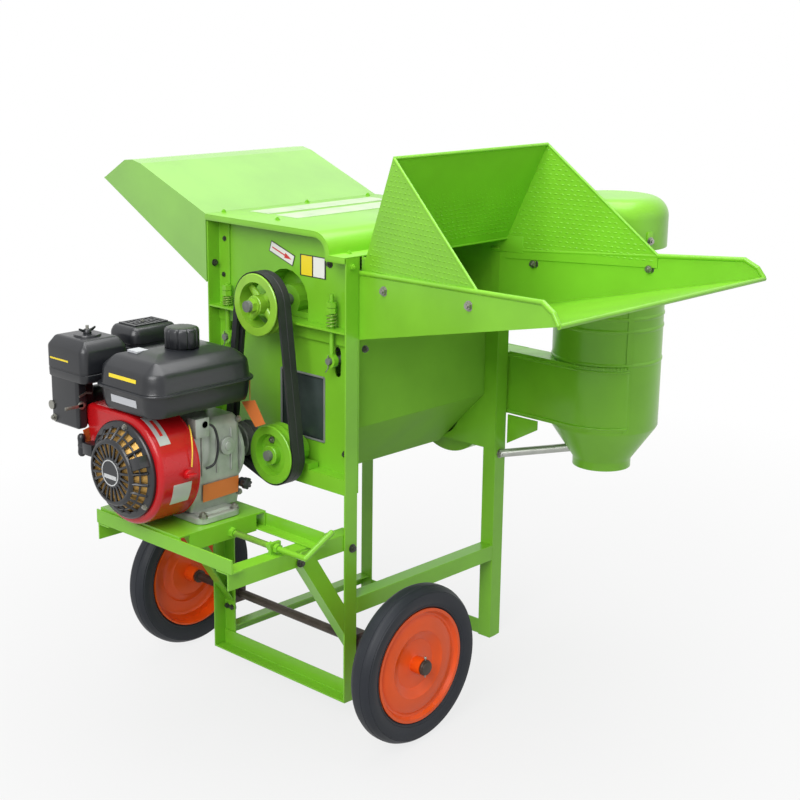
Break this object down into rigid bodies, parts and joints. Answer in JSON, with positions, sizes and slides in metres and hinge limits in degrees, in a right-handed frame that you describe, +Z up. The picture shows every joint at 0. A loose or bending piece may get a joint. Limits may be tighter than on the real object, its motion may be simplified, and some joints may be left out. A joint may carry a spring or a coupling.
{
  "type": "threshing machine",
  "caption": "Farm thresher on a wheeled angle-iron stand, with a petrol engine, a belt-driven peg drum over a sprung grate, a feed hopper, a straw hood, a suction fan and a cyclone.",
  "frame": {"origin": "under the middle of the machine's bounding box, at the height of the bottoms of the wheels", "axes": "+Z up, -Y the feed side, +Y the straw side, -X the engine side, +X the blower side"},
  "size_m": [0.9886, 1.1498, 1.0128],
  "materials": {
    "lime_paint": "gloss lime green paint on sheet steel",
    "orange_paint": "gloss orange paint on pressed steel",
    "tyre_rubber": "matt charcoal rubber",
    "belt_rubber": "matt black rubber",
    "bright_steel": "plated spring steel",
    "dark_steel": "bare dark steel",
    "iron": "plain cast iron",
    "engine_alloy": "die-cast alloy, grey-green",
    "black_paint": "satin black paint",
    "black_plastic": "black moulded plastic",
    "red_paint": "gloss red paint",
    "red_plastic": "red moulded plastic"
  },
  "bodies": {
    "stand": {"front_left_leg": "lime_paint", "rear_left_leg": "lime_paint", "front_right_leg": "lime_paint", "rear_right_leg": "lime_paint", "left_bottom_rail": "lime_paint", "right_bottom_rail": "lime_paint", "rear_lower_rail": "lime_paint", "front_lower_rail": "lime_paint", "front_arm": "lime_paint", "rear_arm": "lime_paint", "outer_crossbar": "lime_paint", "inner_crossbar": "lime_paint", "front_brace": "lime_paint", "rear_brace": "lime_paint", "axle": "dark_steel", "top_cover": "lime_paint", "left_end_panel": "lime_paint", "right_end_panel": "lime_paint", "lower_shroud": "lime_paint", "straw_hood": "lime_paint", "feed_tray": "lime_paint", "hopper": "lime_paint", "left_drum_bearing": "iron", "right_drum_bearing": "iron", "fan_bearing": "iron", "front_left_spring": "bright_steel", "rear_left_spring": "bright_steel", "front_right_spring": "bright_steel", "rear_right_spring": "bright_steel", "drive_belt": "belt_rubber", "fan_housing": "lime_paint", "cyclone_body": "lime_paint"},
    "drum": {"drum": "iron", "drum_pulley": "lime_paint"},
    "fan": {"fan_impeller": "iron", "fan_pulley": "lime_paint"},
    "concave": {"concave": "iron", "front_left_spring_rod": "lime_paint", "rear_left_spring_rod": "lime_paint", "front_right_spring_rod": "lime_paint", "rear_right_spring_rod": "lime_paint"},
    "front_wheel": {"front_tyre": "tyre_rubber", "front_wheel_disc": "orange_paint"},
    "rear_wheel": {"rear_tyre": "tyre_rubber", "rear_wheel_disc": "orange_paint"},
    "elbow": {"elbow_hood": "lime_paint"},
    "screw": {"tension_screw": "lime_paint"},
    "engine": {"slide_base": "lime_paint", "engine_block": "engine_alloy", "blower_shroud": "red_paint", "recoil_cover": "black_paint", "fuel_tank": "black_paint", "air_cleaner": "black_plastic", "muffler": "black_paint"},
    "crank": {"crankshaft": "iron"},
    "starter_handle": {"starter_handle": "black_plastic"},
    "fuel_cap": {"fuel_cap": "black_plastic"},
    "wing_nut": {"wing_nut": "black_paint"},
    "throttle_lever": {"throttle_lever": "bright_steel"},
    "stop_switch": {"stop_switch": "red_plastic"}
  },
  "joints": [
    {"name": "drum_spin", "type": "hinge", "parent": "stand", "child": "drum", "pos_m": [-0.18465, 0.0969, 0.742], "axis": [1, 0, 0], "continuous": true},
    {"name": "fan_spin", "type": "hinge", "parent": "stand", "child": "fan", "pos_m": [-0.18465, 0.0609, 0.48], "axis": [1, 0, 0], "continuous": true},
    {"name": "concave_drop", "type": "slide", "parent": "stand", "child": "concave", "axis": [0, 0, 1], "range_m": [-0.006, 0], "stiffness_N_per_m": 47000, "springref_m": 0.0008, "deforming": ["front_left_spring", "rear_left_spring", "front_right_spring", "rear_right_spring"]},
    {"name": "front_wheel_spin", "type": "hinge", "parent": "stand", "child": "front_wheel", "pos_m": [-0.11265, -0.2061, 0.1425], "axis": [0, 1, 0], "continuous": true},
    {"name": "rear_wheel_spin", "type": "hinge", "parent": "stand", "child": "rear_wheel", "pos_m": [-0.11265, 0.3999, 0.1425], "axis": [0, 1, 0], "continuous": true},
    {"name": "hood_swivel", "type": "hinge", "parent": "stand", "child": "elbow", "pos_m": [0.38435, -0.2311, 0.815], "axis": [0, 0, 1], "range_deg": [-90, 20]},
    {"name": "screw_turn", "type": "hinge", "parent": "stand", "child": "screw", "pos_m": [-0.30165, -0.0591, 0.366], "axis": [0, 1, 0], "range_deg": [-720, 360]},
    {"name": "engine_slide", "type": "slide", "parent": "stand", "child": "engine", "axis": [0, 1, 0], "range_m": [-0.003, 0.0015]},
    {"name": "crank_spin", "type": "hinge", "parent": "engine", "child": "crank", "pos_m": [-0.18465, 0.1509, 0.488], "axis": [1, 0, 0], "continuous": true},
    {"name": "handle_pull", "type": "slide", "parent": "engine", "child": "starter_handle", "axis": [0, 1, 0], "range_m": [0, 0.12], "stiffness_N_per_m": 60, "springref_m": -0.02},
    {"name": "fuel_cap_turn", "type": "hinge", "parent": "engine", "child": "fuel_cap", "pos_m": [-0.33365, 0.1329, 0.684], "axis": [0, 0, 1], "range_deg": [0, 90]},
    {"name": "wing_nut_turn", "type": "hinge", "parent": "engine", "child": "wing_nut", "pos_m": [-0.42215, 0.2774, 0.697], "axis": [0, 0, 1], "range_deg": [0, 720]},
    {"name": "throttle_turn", "type": "hinge", "parent": "engine", "child": "throttle_lever", "pos_m": [-0.46035, 0.2489, 0.582], "axis": [0, 1, 0], "range_deg": [0, 40]},
    {"name": "switch_turn", "type": "hinge", "parent": "engine", "child": "stop_switch", "pos_m": [-0.3908, 0.0539, 0.488], "axis": [0, 1, 0], "range_deg": [0, 60]}
  ],
  "couplings": [
    {"joint": "fan_spin", "follows": "drum_spin", "ratio": 1.0419},
    {"joint": "crank_spin", "follows": "drum_spin", "ratio": 1.7094},
    {"joint": "screw_turn", "follows": "engine_slide", "rad_per_m": 4188.8}
  ]
}
